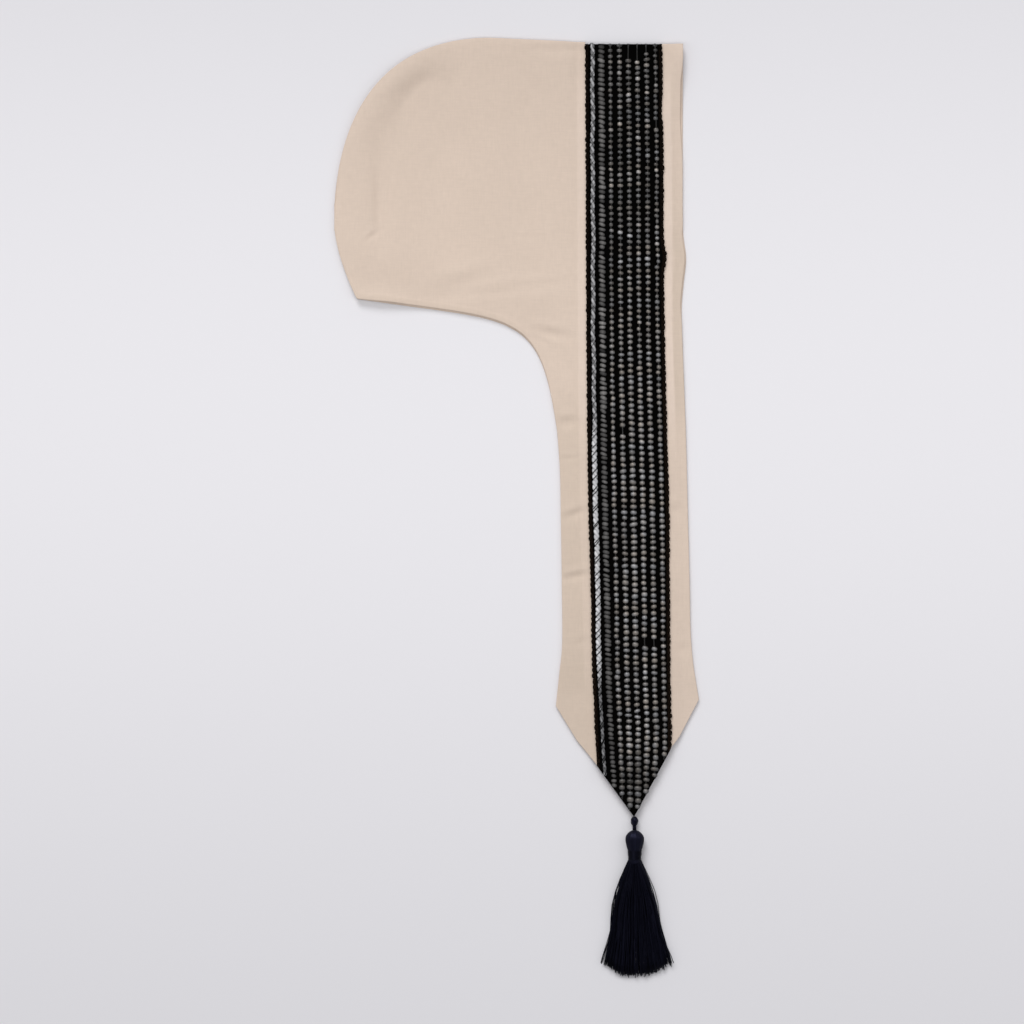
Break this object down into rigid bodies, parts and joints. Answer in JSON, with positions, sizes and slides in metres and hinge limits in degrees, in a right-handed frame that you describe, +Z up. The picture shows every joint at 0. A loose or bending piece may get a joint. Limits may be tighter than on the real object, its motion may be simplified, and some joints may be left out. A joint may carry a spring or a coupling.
{
  "type": "hooded scarf with beaded band and tassel, laid flat",
  "caption": "Plain cloth hood cut in one with a pointed lappet, folded flat on its side, with a beaded band down the face edge and a tassel at the point.",
  "frame": {"origin": "on the surface the scarf lies on, under the middle of its outline", "axes": "+Z up off the surface; +Y along the scarf from the tassel to the crown of the hood; +X from the back of the hood to the face edge"},
  "size_m": [0.3282, 0.8452, 0.0137],
  "materials": {
    "cloth": "matt plain-woven beige cloth",
    "beaded_band": "black woven band with rows of grey beads and a silver rope",
    "tassel_thread": "blue-black silky thread"
  },
  "bodies": {
    "root": {"side_panel_upper": "cloth", "side_panel_under": "cloth", "trim_upper": "beaded_band", "trim_under": "beaded_band", "tassel_knot": "tassel_thread", "tassel_binding": "tassel_thread", "tassel": "tassel_thread"}
  },
  "joints": []
}
